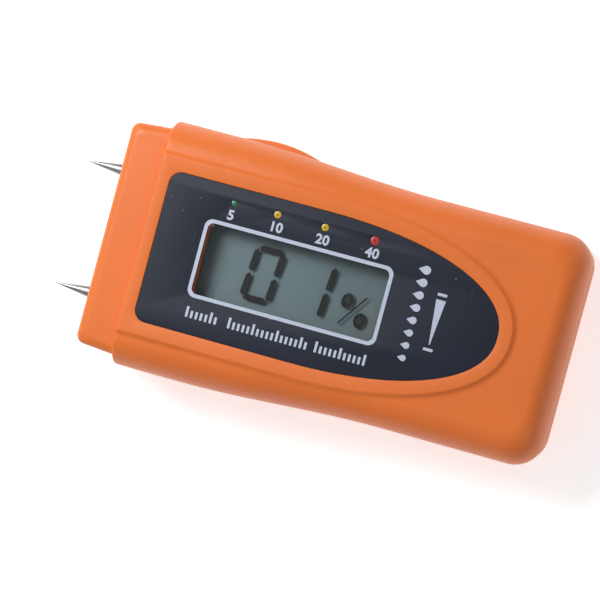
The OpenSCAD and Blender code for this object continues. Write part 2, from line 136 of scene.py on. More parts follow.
LAMP_HOLE_RADIUS = 1.6
PIN_HOLE_RADIUS = 1.55
SCREW_SEAT_Z = 2.2
BUTTON_X = (BUTTON_LOW.x + BUTTON_HIGH.x) / 2
BUTTON_LENGTH = 16.4
BUTTON_BASE_Y = 22
BUTTON_BOTTOM = 9
BUTTON_TOP = 16.4
BUTTON_CROWN = 1.2
BUTTON_EDGE = 0.55
TONGUE = 0.9
DOOR_HALF = DOOR_HIGH.y - TONGUE


# ---------------- mesh helpers

def linked(name, data):
    """A new object in the scene, for a mesh, curve, light or camera."""
    result = bpy.data.objects.new(name, data)
    SCENE.collection.objects.link(result)
    return result


def evaluated_mesh(piece):
    """The mesh of an object with its modifiers or its curve settings applied."""
    bpy.context.view_layer.update()
    evaluated = piece.evaluated_get(bpy.context.evaluated_depsgraph_get())
    return bpy.data.meshes.new_from_object(evaluated)


def make_object(name, vertices, faces, sharp=35):
    """A mesh object from points in millimetres, smooth apart from edges sharper than an angle."""
    mesh = bpy.data.meshes.new(name)
    mesh.from_pydata((np.asarray(vertices, float) * MM).tolist(), [], faces)
    result = linked(name, mesh)
    tidy(result, sharp)
    return result


def tidy(piece, sharp=35, merge=0.0):
    """Turns all faces outwards and sets which edges look sharp."""
    mesh = piece.data
    work = bmesh.new()
    work.from_mesh(mesh)
    if merge:
        bmesh.ops.remove_doubles(work, verts=work.verts, dist=merge * MM)
    bmesh.ops.recalc_face_normals(work, faces=work.faces)
    work.to_mesh(mesh)
    work.free()
    mesh.shade_smooth()
    mesh.set_sharp_from_angle(angle=math.radians(sharp))


def loft(name, rings, sharp=35):
    """A skin over rings with the same number of points, capped at its ends."""
    count = len(rings[0])
    last = (len(rings) - 1) * count
    faces = []
    for low in range(0, last, count):
        for i in range(count):
            j = (i + 1) % count
            faces.append((low + i, low + j, low + count + j, low + count + i))
    faces.append(tuple(reversed(range(count))))
    faces.append(tuple(range(last, last + count)))
    return make_object(name, np.concatenate(rings), faces, sharp)


def at_height(outline, z):
    """An outline as a ring of points at one height, or at a height for each point."""
    points = np.asarray(outline, float)
    return np.column_stack([points, np.broadcast_to(z, len(points))])


def polar(radius, angle):
    """Points round the origin, from radii and angles in radians."""
    return np.column_stack([radius * np.cos(angle), radius * np.sin(angle)])


def lathe(name, profile, place, axis="z", segments=96, sharp=35):
    """Turns a profile of (radius, height) pairs round an upright axis, or round one along X."""
    turn = np.linspace(0, 2 * math.pi, segments, endpoint=False)
    rings = []
    for radius, height in profile:
        ring = at_height(polar(radius, turn), height)
        if axis == "x":
            ring = ring[:, [2, 0, 1]]
        rings.append(ring + np.asarray(place, float))
    return loft(name, rings, sharp)


def prism(name, outline, low, high):
    """An upright prism over an outline."""
    return loft(name, [at_height(outline, low), at_height(outline, high)])


def block(name, low, high):
    """A box between two corners, used as a cutter."""
    outline = [(low[0], low[1]), (high[0], low[1]), (high[0], high[1]), (low[0], high[1])]
    return prism(name, outline, low[2], high[2])


def rods(name, radius, places, low, high):
    """Upright round bars or cutters at several places, between two heights."""
    profile = [(radius, 0), (radius, high - low)]
    return [lathe(name, profile, (x, y, low), segments=64) for x, y in places]


def carve(target, operation, tools, sharp=35):
    """Applies one boolean operation after another and removes the tools."""
    for tool in tools:
        step = target.modifiers.new("carve", "BOOLEAN")
        step.operation = operation
        step.solver = "MANIFOLD"
        step.object = tool
    mesh = evaluated_mesh(target)
    target.modifiers.clear()
    target.data = mesh
    mesh.name = target.name
    for tool in tools:
        bpy.data.objects.remove(tool)
    tidy(target, sharp)
    return target


def join(name, pieces, sharp=35):
    """Puts several meshes into one object."""
    work = bmesh.new()
    for piece in pieces:
        work.from_mesh(piece.data)
        bpy.data.objects.remove(piece)
    mesh = bpy.data.meshes.new(name)
    work.to_mesh(mesh)
    work.free()
    result = linked(name, mesh)
    tidy(result, sharp)
    return result


# ---------------- outlines

def arc(center, radius, start, end, step=3):
    """Points along an arc, given in degrees."""
    count = max(2, round(abs(end - start) / step) + 1)
    return polar(radius, np.radians(np.linspace(start, end, count))) + center


def both_sides(lower):
    """An outline from its lower half, mirrored in the X axis."""
    return np.vstack([lower, lower[::-1] * [1, -1]])


def half_width(x):
    """Half of the case's width at a place along its length."""
    t = np.clip((np.asarray(x, float) - WAIST[0]) / (WAIST[1] - WAIST[0]), 0, 1)
    return BUTT_HALF + (HEAD_HALF - BUTT_HALF) * (1 + np.cos(math.pi * t)) / 2


def case_outline(side_in, butt_in, front_in):
    """Outline of the case behind its neck, drawn in from its sides, butt and shoulder."""
    corner = BUTT_CORNER - min(side_in, butt_in) / 3
    first_x = SHOULDER_X + front_in + SHOULDER_CORNER
    last_x = BUTT_X - butt_in - corner
    x = np.linspace(first_x, last_x, 90)
    side = np.column_stack([x, side_in - half_width(x)])
    front = arc((first_x, SHOULDER_CORNER - HEAD_HALF + side_in), SHOULDER_CORNER, 180, 265)
    butt = arc((last_x, corner - BUTT_HALF + side_in), corner, 272, 360)
    return both_sides(np.vstack([front, side, butt]))


def bullet(front, half, nose, corner):
    """Outline of the face: square towards the neck and curved towards the butt."""
    turn = np.radians(np.linspace(-90, 90, 121))
    curve = np.column_stack([
        CURVE_START + (nose - CURVE_START) * np.cos(turn).clip(0) ** (2 / CURVE_POWER),
        half * np.sign(turn) * np.abs(np.sin(turn)) ** (2 / CURVE_POWER),
    ])
    upper = arc((front + corner, half - corner), corner, 90, 180)
    lower = arc((front + corner, corner - half), corner, 180, 270)
    return np.vstack([curve, upper, lower])


def rounded_rectangle(size, corner, center=(0, 0)):
    """Outline of a rectangle with round corners."""
    x, y = size[0] / 2 - corner, size[1] / 2 - corner
    corners = [((x, y), 0), ((-x, y), 90), ((-x, -y), 180), ((x, -y), 270)]
    return np.vstack([arc(place, corner, start, start + 90, 6) for place, start in corners]) + center


def window_outline(margin=0.0, corner=WINDOW_CORNER):
    """Outline of the display window, larger by a margin across."""
    size = (WINDOW_SIZE[0] + margin, WINDOW_SIZE[1] + margin)
    return rounded_rectangle(size, corner, (WINDOW_X, 0))


def shared_directions():
    """Directions from the middle of the window in which every ring has a point, finer at corners."""
    spans = [(0, 180, 0.5), (18, 25, 0.2), (139.5, 143.5, 0.1), (147, 157, 0.2), (148.4, 150.6, 0.1)]
    upper = np.concatenate([np.arange(start, end, step) for start, end, step in spans])
    whole = np.concatenate([upper, -upper])
    return np.radians(np.unique(np.round(whole, 3) % 360))


RAYS = shared_directions()
CENTER = np.array([WINDOW_X, 0.0])


def finer(outline, spacing):
    """An outline with points added along its sides, so that none are further apart than a spacing."""
    parts = []
    for start, end in zip(outline, np.roll(outline, -1, axis=0)):
        count = max(1, math.ceil(np.linalg.norm(end - start) / spacing))
        parts.append(start + (end - start) * (np.arange(count) / count)[:, None])
    return np.concatenate(parts)


def along_rays(outline):
    """Where the shared directions meet an outline."""
    offset = finer(outline, 0.1) - CENTER
    angle = np.arctan2(offset[:, 1], offset[:, 0]) % (2 * math.pi)
    order = np.argsort(angle)
    reach = np.interp(RAYS, angle[order], np.hypot(*offset.T)[order], period=2 * math.pi)
    return CENTER + polar(reach, RAYS)


def face_distance(points):
    """How far points lie outside the rim of the raised face, which runs out over the shoulder."""
    x, y = points.T
    along = np.clip((x - CURVE_START) / (FACE_NOSE - CURVE_START), 0, None)
    across = np.abs(y) / FACE_HALF
    gauge = (along ** CURVE_POWER + across ** CURVE_POWER) ** (1 / CURVE_POWER)
    slope_x = (along / gauge) ** (CURVE_POWER - 1) / (FACE_NOSE - CURVE_START)
    slope_y = (across / gauge) ** (CURVE_POWER - 1) / FACE_HALF
    return (gauge - 1) / np.hypot(slope_x, slope_y)


def face_lift(distance):
    """Height of the raised face above the top of the case: a round rim and a hollow foot."""
    t = 1 - (1 - np.clip((distance + FACE_RIM) / (FACE_FOOT + FACE_RIM), 0, 1)) ** 1.8
    return FACE_STEP * (1 - t * t * (3 - 2 * t))


# ---------------- the two halves of the case

def shoulder_round(z):
    """How far the shoulder's edge is rounded back at a height below the top."""
    rise = max(0.0, z - (TOP_Z - SHOULDER_EDGE))
    return SHOULDER_EDGE - math.sqrt(max(0.0, SHOULDER_EDGE ** 2 - rise ** 2))


def raised(outline, z):
    """A ring on the top of the case, lifted where the raised face runs over it."""
    points = along_rays(outline)
    share = min(1.0, max(0.0, (z - LIFT_START_Z) / (TOP_Z - SHOULDER_EDGE - LIFT_START_Z)))
    return at_height(points, z + share * face_lift(face_distance(points)))


def case_top():
    """The outside of the case above the seam, down to the floor of the label's recess."""
    rings = [
        at_height(along_rays(case_outline(inset, inset, inset)), PARTING_Z + rise)
        for inset, rise in SEAM_BEVEL
    ]
    turns = np.radians(np.concatenate([np.arange(0, 60, 4), np.arange(60, 90.1, 2)]))
    for turn in turns:
        inset = 1 - math.cos(turn)
        z = ROLL_START + (TOP_Z - ROLL_START) * math.sin(turn)
        rings.append(raised(case_outline(SIDE_ROLL * inset, BUTT_ROLL * inset, shoulder_round(z)), z))
    edge = np.linalg.norm(rings[-1][:, :2] - CENTER, axis=1)
    steps = np.concatenate([[2.2, 1.6], np.linspace(FACE_FOOT, -0.3, 17), [-0.6]])
    for number, step in enumerate(steps):
        outline = bullet(SHOULDER_X - 6, FACE_HALF + step, FACE_NOSE + step, 0.5)
        reach = np.linalg.norm(along_rays(outline) - CENTER, axis=1)
        points = CENTER + polar(np.minimum(reach, edge - 0.03 * (number + 1)), RAYS)
        rings.append(at_height(points, TOP_Z + face_lift(face_distance(points))))
    floor_z = LABEL_LOW.z
    rim = [(0.16, FACE_Z), (0.1, FACE_Z - 0.02), (0.06, FACE_Z - 0.07), (0.05, FACE_Z - 0.15),
           (0.05, floor_z), (-0.3, floor_z)]
    for gap, z in rim:
        outline = bullet(LABEL_LOW.x - gap, LABEL_HIGH.y + gap, LABEL_HIGH.x + gap, LABEL_CORNER + gap)
        rings.append(at_height(along_rays(outline), z))
    return loft("front_shell", rings, 28)


def case_bottom():
    """The outside of the case below the seam, with its rolled rear edge."""
    rings = []
    for turn in np.radians(np.linspace(0, 90, 19)):
        inset = REAR_ROLL * (1 - math.sin(turn))
        outline = case_outline(inset, inset, min(inset, 0.3))
        rings.append(at_height(along_rays(outline), REST_RISE + REAR_ROLL * (1 - math.cos(turn))))
    for inset, drop in reversed(SEAM_BEVEL):
        rings.append(at_height(along_rays(case_outline(inset, inset, inset)), PARTING_Z - drop))
    return loft("rear_shell", rings, 28)


def rest_dome(x, y):
    """One of the low domes on the back that the meter rests on."""
    rise = [REST_RADIUS * (1 - math.cos(turn)) for turn in np.linspace(0.01, 0.32, 9)]
    profile = [(math.sqrt(z * (2 * REST_RADIUS - z)), z) for z in rise]
    return lathe("rest_dome", [*profile, (profile[-1][0], WALL / 2)], (x, y, 0), segments=48)


def neck_outline(inset):
    """Outline of the neck, which reaches back into the case."""
    center = (FRONT_X + NECK_CORNER + inset, NECK_CORNER - NECK_FRONT_HALF + inset)
    back = [[SHOULDER_X + 1, inset - NECK_BACK_HALF]]
    return both_sides(np.vstack([arc(center, NECK_CORNER, 180, 270), back]))


def neck_half(upper):
    """The upper or lower half of the neck, with a round edge and the seam's small bevel."""
    rings = []
    for turn in np.radians(np.linspace(0, 90, 15)):
        inset = NECK_EDGE * (1 - math.sin(turn))
        rise = NECK_EDGE * (1 - math.cos(turn))
        z = NECK_TOP - rise if upper else NECK_BOTTOM + rise
        rings.append(at_height(neck_outline(inset), z))
    toward = 1 if upper else -1
    for inset, gap in reversed(SEAM_BEVEL):
        rings.append(at_height(neck_outline(inset), PARTING_Z + toward * gap))
    return loft("neck_half", rings[::-1] if upper else rings, 28)


def inner_prism(name, inset, low, high):
    """A cutter for the straight-sided space inside the case."""
    return prism(name, case_outline(inset, inset, inset), low, high)


def neck_room(low, high):
    """A cutter for the space inside the neck."""
    half = NECK_FRONT_HALF - WALL
    return block("neck_room", (FRONT_X + WALL, -half, low), (SHOULDER_X + WALL, half, high))


def build_front_shell():
    """Front half of the case, with its neck, window skirt, lamp holes and screw bosses."""
    shell = carve(case_top(), "UNION", [neck_half(True)])
    carve(shell, "DIFFERENCE", [
        inner_prism("room", 3.2, PARTING_Z - 1, 20),
        inner_prism("roof", 4, 19, CEILING_Z),
        neck_room(PARTING_Z - 1, NECK_TOP - WALL),
    ])
    top = CEILING_Z + 0.5
    carve(shell, "UNION", [
        *rods("boss", BOSS_RADIUS, CASE_SCREWS, PARTING_Z, top),
        *rods("post", POST_RADIUS, BOARD_SCREWS, BOARD_TOP, top),
        prism("skirt", window_outline(2 * SKIRT_WALL), SKIRT_Z, top),
    ])
    carve(shell, "DIFFERENCE", [
        *rods("bore", CASE_PILOT_RADIUS, CASE_SCREWS, PARTING_Z - 1, 20.5),
        *rods("pilot", BOARD_PILOT_RADIUS, BOARD_SCREWS, BOARD_TOP - 1, BOARD_TOP + 4),
        *rods("lamp_hole", LAMP_HOLE_RADIUS, [(x, LAMP_Y) for x in LAMP_X], CEILING_Z - 1, FACE_Z),
        prism("opening", window_outline(0.2), SKIRT_Z - 1, FACE_Z + 1),
    ], 28)
    return shell


def build_rear_shell():
    """Rear half of the case, with the battery pocket, door track, screw seats and button notch."""
    shell = carve(case_bottom(), "UNION", [neck_half(False), *(rest_dome(x, y) for x, y in REST_PLACES)])
    outside = linked("outside", shell.data.copy())
    carve(shell, "DIFFERENCE", [
        inner_prism("room", SIDE_WALL, WALL, PARTING_Z + 1),
        neck_room(NECK_BOTTOM + WALL, PARTING_Z + 1),
    ])
    cell = [(CELL_X, 0)]
    carve(shell, "UNION", [
        *(cap_ridge(side) for side in (-1, 1)),
        *rods("boss", BOSS_RADIUS, CASE_SCREWS, WALL / 2, PARTING_Z),
        *rods("pocket_wall", POCKET_RADIUS + POCKET_WALL, cell, WALL / 2, POCKET_ROOF + 1.2),
    ])
    half = BUTTON_LENGTH / 2 + 0.1
    carve(shell, "DIFFERENCE", [
        *(screw_seat(x, y) for x, y in CASE_SCREWS),
        *rods("pocket", POCKET_RADIUS, cell, -1, POCKET_ROOF),
        *(pin_hole(side) for side in (-1, 1)),
        block("notch", (BUTTON_X - half, BUTTON_BASE_Y - 1, BUTTON_BOTTOM - 0.1),
              (BUTTON_X + half, HEAD_HALF + 2, PARTING_Z + 1)),
        *door_track(),
    ], 28)
    return shell, outside


def pin_hole(side):
    """Cutter for the hole in the front wall that one pin comes out of."""
    profile = [(PIN_HOLE_RADIUS, 0), (PIN_HOLE_RADIUS, 4)]
    return lathe("pin_hole", profile, (FRONT_X - 1, side * PIN_Y, PIN_Z), "x", 64)


def cap_ridge(side):
    """Low rounded ridge on one side of the neck, that a cap snaps over."""
    radius, height, middle_x = 1.7, 0.4, FRONT_X + 3.6
    rings = []
    for t in np.linspace(-1, 1, 21):
        swell = max(0.05, (1 - t ** 4) ** 0.5)
        y = side * (NECK_FRONT_HALF + 0.25 + height * swell - radius)
        rings.append(at_height(arc((middle_x, y), radius, 0, 354, 6), PIN_Z + 2 * t))
    return loft("ridge", rings)


def screw_seat(x, y):
    """Cutter for a screw's clearance hole and its counterbore, with a small bevel at the mouth."""
    profile = [(2.5, -1), (2.5, REST_RISE - 0.05), (2.3, REST_RISE + 0.15), (2.3, SCREW_SEAT_Z),
               (1.3, SCREW_SEAT_Z), (1.3, PARTING_Z + 1)]
    return lathe("seat", profile, (x, y, 0), segments=64)


def door_track():
    """Cutters for the recess and the two grooves that the battery door slides in."""
    start, half = DOOR_LOW.x - 0.1, DOOR_HALF + 0.1
    recess = block("recess", (start, -half, -1), (BUTT_X + 1, half, DOOR_HIGH.z + 0.1))
    grooves = block("grooves", (start, -half - TONGUE, 0.6), (BUTT_X + 1, half + TONGUE, 1.4))
    return [recess, grooves]


# ---------------- smaller visible pieces

def flat_piece(name, outlines, low, high, bevel=0.0):
    """A thin plate filled between outlines, where an outline inside another one is a hole."""
    curve = bpy.data.curves.new(name, "CURVE")
    curve.dimensions = "2D"
    curve.fill_mode = "BOTH"
    curve.extrude = ((high - low) / 2 - bevel) * MM
    curve.bevel_depth = bevel * MM
    curve.bevel_resolution = 2
    curve.offset = -bevel * MM
    for outline in outlines:
        spline = curve.splines.new("POLY")
        spline.points.add(len(outline) - 1)
        for point, place in zip(spline.points, outline):
            point.co = (place[0] * MM, place[1] * MM, 0, 1)
        spline.use_cyclic_u = True
    return meshed(name, curve, (low + high) / 2)


def meshed(name, curve, z, x=0.0, y=0.0):
    """A curve or a text turned into a mesh that lies flat at a place."""
    holder = linked(name + "_curve", curve)
    mesh = evaluated_mesh(holder)
    bpy.data.objects.remove(holder)
    mesh.name = name
    mesh.transform(Matrix.Translation((x * MM, y * MM, z * MM)))
    result = linked(name, mesh)
    tidy(result, 20, 0.001)
    return result


def build_label():
    """Label film with its window and the four lamp spots cut out."""
    outlines = [bullet(LABEL_LOW.x, LABEL_HIGH.y, LABEL_HIGH.x, LABEL_CORNER), window_outline()]
    outlines += [arc((x, LAMP_Y), spot / 2 + 0.02, 0, 350, 10) for x, spot in zip(LAMP_X, LAMP_SPOT)]
    return flat_piece("label_film", outlines, LABEL_LOW.z, LABEL_HIGH.z, 0.04)


def printed(name, outlines):
    """A thin coat of ink on the label."""
    return flat_piece("print_" + name, outlines, LABEL_HIGH.z - 0.005, LABEL_HIGH.z + 0.02)


def build_border():
    """Printed frame round the display window."""
    width = 0.75
    outer = window_outline(2 * width, WINDOW_CORNER + width * 0.6)
    return printed("window_border", [outer, window_outline(0.04)])


def build_number(text, x):
    """A printed scale number, centred under its lamp."""
    height, weight, font_height = 1.9, 0.09, 0.72
    curve = bpy.data.curves.new("number_" + text, "FONT")
    curve.body = text
    curve.size = height / font_height * MM
    curve.align_x = "CENTER"
    curve.align_y = "CENTER"
    curve.offset = weight * MM
    curve.extrude = 0.012 * MM
    curve.space_character = 1.04
    return meshed("print_number_" + text, curve, LABEL_HIGH.z + 0.008, x, NUMBER_Y)


def droplet(x, y, size):
    """Outline of a water drop that points towards the neck."""
    body = arc((0, 0), size * 0.34, -215, 35, 8)
    points = np.vstack([[[0, size * 0.62]], body]) - [0, size * 0.13]
    return np.column_stack([x - points[:, 1], y + points[:, 0]])


def build_scale_ticks():
    """Ruler-like ticks in three groups under the window: a dry, a middle and a wet range."""
    base, pitch, width, major, minor = -11.85, 0.97, 0.5, 2.15, 1.45
    outlines = []
    for start, count in [(-26.0, 7), (-17.4, 17), (0.2, 11)]:
        for i in range(count):
            height = major if i % 5 == 0 else minor
            outlines.append(rounded_rectangle((width, height), 0.12, (start + pitch * i, base + height / 2)))
    return printed("scale_ticks", outlines)


def build_drop_row():
    """A row of drops along the nose of the label, from large to small."""
    count, start, end, x = 8, 9.0, -8.4, 16.7
    outlines = []
    for i in range(count):
        t = i / (count - 1)
        outlines.append(droplet(x, start + (end - start) * t, 2.5 - 0.7 * t))
    return printed("drop_row", outlines)


def build_range_wedge():
    """A wedge between two end marks, which stands for the measuring range."""
    x, width, low, high = 21.2, 1.9, -4.6, 4.2
    outlines = [
        [[x - 0.1, low], [x + 0.1, low], [x + width / 2, high], [x - width / 2, high]],
        rounded_rectangle((width, 0.55), 0.15, (x, low - 1)),
        rounded_rectangle((width, 0.55), 0.15, (x, high + 1)),
    ]
    return printed("range_wedge", outlines)


def build_lens(node, x, spot):
    """Slightly domed coloured window over one lamp."""
    radius, low, high = spot / 2, LABEL_LOW.z, LABEL_HIGH.z
    profile = [(radius, low), (radius, high - 0.06)]
    profile += [(radius * math.cos(t), high - 0.06 + 0.1 * math.sin(t)) for t in np.linspace(0.1, 1.5, 10)]
    return lathe(node + "_spot", profile, (x, LAMP_Y, 0), segments=48, sharp=50)


def build_pane():
    """Clear window pane with softened edges."""
    return flat_piece("window_pane", [window_outline(0.08)], PANE_LOW.z, PANE_HIGH.z, 0.08)


# ---------------- display

DIGIT_SLANT = 0.085
STROKE = 1.15


def slanted(points):
    """Leans display shapes over, so that their tops are further along X."""
    leaned = np.array(points, float)
    leaned[:, 0] += leaned[:, 1] * DIGIT_SLANT
    return leaned


def segment(start, end, width=STROKE, gap=0.14):
    """A display segment with pointed ends between two places."""
    start, end = np.array(start, float), np.array(end, float)
    along = (end - start) / np.linalg.norm(end - start)
    across = np.array([-along[1], along[0]]) * width / 2
    start, end = start + along * gap, end - along * gap
    point = along * width / 2
    return slanted([start, start + point - across, end - point - across,
                    end, end - point + across, start + point + across])


def ring_outlines(x, y, width, height, stroke):
    """Outer and inner outline of an upright oval ring."""
    circle = polar(1, np.radians(np.arange(0, 360, 10)))
    sizes = [(width / 2 - inset, height / 2 - inset) for inset in (0, stroke)]
    return [slanted(circle * size + [x, y]) for size in sizes]


def build_digits():
    """Dark segments of the display: a nought, a one and a percent sign."""
    left, right, top, bottom = -16.75, -11.6, 4.85, -5.1
    one, one_top, one_bottom = -1.0, 5.0, -5.3
    middle = (top + bottom) / 2
    outlines = [segment((left, y), (right, y)) for y in (top, bottom)]
    for x, high, low in ((left, top, bottom), (right, top, bottom), (one, one_top, one_bottom)):
        outlines += [segment((x, middle), (x, high)), segment((x, low), (x, middle))]
    for x, y in ((3.3, -0.65), (6.8, -3.8)):
        outlines += ring_outlines(x, y, 2.3, 3.0, 0.75)
    outlines.append(np.array([[2.35, -5.3], [2.75, -5.3], [7.1, 0.9], [6.7, 0.9]]))
    return flat_piece("display_segments", outlines, DIGIT_Z, DIGIT_Z + 0.03)


def build_display_glass():
    """Rear plate of the display with its film, and the clear front plate above the segments."""
    length, width = GLASS_HIGH.x - GLASS_LOW.x, GLASS_HIGH.y - GLASS_LOW.y
    rear = rounded_rectangle((length, width), 0.3, (WINDOW_X, 0))
    front = rounded_rectangle((length, width - 1.6), 0.3, (WINDOW_X, 0.6))
    return (flat_piece("display_rear_plate", [rear], GLASS_LOW.z, FILM_Z, 0.06),
            flat_piece("display_front_plate", [front], DIGIT_Z + 0.05, GLASS_HIGH.z, 0.06))


# ---------------- button, battery door and metal parts

def build_button():
    """Power button: a low dome that follows the side of the case, with its flange and its stem."""
    half, height = BUTTON_LENGTH / 2, BUTTON_TOP - BUTTON_BOTTOM
    middle = np.array([BUTTON_X, (BUTTON_TOP + BUTTON_BOTTOM) / 2])
    outline = finer(rounded_rectangle((BUTTON_LENGTH, height), 0.9), 0.4)
    rings = [np.column_stack([outline[:, 0], np.full(len(outline), BUTTON_BASE_Y - 0.5), outline[:, 1]])]
    edge = BUTTON_EDGE
    rolled = edge * (1 - np.cos(np.radians(np.arange(0, 91, 10))))
    sizes = np.concatenate([[0], rolled, np.linspace(edge, height / 2 - 0.05, 10)[1:]])
    for number, inset in enumerate(sizes):
        inner = max(0.0, inset - edge) / (height / 2 - edge)
        points = outline * [(1 - min(inset, edge) / half) * (1 - inner), 1 - inset / (height / 2)]
        drop = edge - math.sqrt(max(0.0, edge ** 2 - max(0.0, edge - inset) ** 2))
        drop = edge if number == 0 else drop
        t = points[:, 0] / half
        swell = BUTTON_CROWN * (1 - t ** 2) * (1 - 0.25 * (points[:, 1] / (height / 2)) ** 2)
        y = half_width(points[:, 0] + middle[0]) + swell - drop
        rings.append(np.column_stack([points[:, 0], y, points[:, 1]]))
    dome = loft("power_button_cap", [ring + [middle[0], 0, middle[1]] for ring in rings], 40)
    margin = 1
    flange = block("flange", (BUTTON_X - half - margin, BUTTON_LOW.y + 1.5, BUTTON_BOTTOM - margin),
                   (BUTTON_X + half + margin, BUTTON_BASE_Y, BUTTON_TOP))
    stem = block("stem", (BUTTON_X - 2, BUTTON_LOW.y, 12.8), (BUTTON_X + 2, BUTTON_BASE_Y, 15.2))
    return carve(dome, "UNION", [flange, stem], 40)


def build_door(outside):
    """Battery door, cut from the case's own outer shape, with four grip grooves."""
    start, gap = DOOR_LOW.x, 0.1
    panel = rounded_rectangle((2 * (BUTT_X - start), 2 * DOOR_HALF), 0.6, (BUTT_X, 0))
    rings = [at_height(panel, z) for z in (DOOR_LOW.z - gap, DOOR_HIGH.z)]
    door = loft("battery_door_panel", rings)
    tongues = block("tongues", (start, -DOOR_HALF - TONGUE, 0.7), (BUTT_X + 1, DOOR_HALF + TONGUE, 1.3))
    carve(door, "UNION", [tongues])
    carve(door, "INTERSECT", [outside])
    grooves = []
    for i in range(4):
        x = BUTT_X - 12 + 2.4 * i
        turn = np.radians(np.arange(0, 360, 15))
        ends = [(8, 0.05), (7.85, 0.3), (7.5, 0.5)]
        rings = [
            at_height(polar(r, turn), y)[:, [0, 2, 1]] + [x, 0, DOOR_LOW.z]
            for y, r in [*((-y, r) for y, r in ends), *reversed(ends)]
        ]
        grooves.append(loft("groove", rings))
    return carve(door, "DIFFERENCE", grooves, 30)


def build_pin(node, side):
    """Ground steel needle with a fine point, a parallel shank and a thicker root."""
    low, high = box_mm(node)
    tip, cone_end = low.x, low.x + 7
    point, shank, root = 0.05, 1.125, 1.5
    cone = [(point + (shank - point) * t ** 0.97, tip + (cone_end - tip) * t)
            for t in np.linspace(0.015, 0.985, 24)]
    profile = [(0.012, tip), (0.04, tip + 0.03), *cone, (shank, cone_end + 0.12), (shank, FRONT_X - 0.02)]
    profile += [(root - 0.1, FRONT_X), (root, FRONT_X + 0.1), (root, high.x - 0.2), (root - 0.2, high.x)]
    return lathe("needle_" + node.split("_")[-1], profile, (0, side * PIN_Y, PIN_Z), "x", 96, 20)


def build_screw(radius, head_radius, head_height, seat_z, tip_z, pitch, place):
    """Pan-head screw standing head down, with a cross recess and a real helical thread."""
    x, y = place
    under = seat_z - head_height
    head = lathe("screw", [
        (head_radius * 0.5, under), (head_radius * 0.8, under + 0.06), (head_radius * 0.95, under + 0.25),
        (head_radius, under + 0.5), (head_radius, seat_z), (radius * 0.8, seat_z),
        (radius * 0.8, seat_z + 0.4),
    ], (x, y, 0), segments=48)
    length = tip_z - seat_z - 0.2
    levels = int(length / pitch * 8) + 1
    angle = np.linspace(0, 2 * math.pi, 32, endpoint=False)
    rings = []
    for level in range(levels + 1):
        z = seat_z + 0.2 + length * level / levels
        phase = ((z - seat_z) / pitch - angle / (2 * math.pi)) % 1
        crest = np.clip(1 - np.abs(phase - 0.5) * 3.2, 0, 1)
        taper = min(1.0, (tip_z - z) / 1.6 + 0.25)
        rings.append(at_height(polar(radius * taper * (0.76 + 0.24 * crest), angle) + place, z))
    thread = loft("thread", rings, 60)
    arm, depth = head_radius * 0.55, 0.75
    slots = [
        block("slot", (x - a, y - b, under - 1), (x + a, y + b, under + depth))
        for a, b in [(arm, arm * 0.24), (arm * 0.24, arm)]
    ]
    carve(head, "UNION", [thread], 40)
    return carve(head, "DIFFERENCE", slots, 40)


def build_screws(name, places, **sizes):
    """Screws of one size at several places, in one object."""
    return join(name, [build_screw(place=place, **sizes) for place in places], 40)


def build_cell(node):
    """Coin cell: a rolled can with a gasket line round its smaller cap."""
    low, high = box_mm(node)
    can, cap, base, top = CELL_RADIUS, 8.6, low.z, high.z
    step = top - 0.6
    profile = [(can - 0.45, base), (can - 0.2, base + 0.06), (can - 0.05, base + 0.22), (can, base + 0.45),
               (can, step - 0.5), (can - 0.08, step - 0.2), (can - 0.35, step), (cap + 0.25, step),
               (cap + 0.2, step - 0.12), (cap + 0.02, step - 0.12), (cap - 0.02, top - 0.25),
               (cap - 0.12, top - 0.08), (cap - 0.3, top)]
    return lathe(node + "_can", profile, (CELL_X, 0, 0), segments=128)


# ---------------- materials

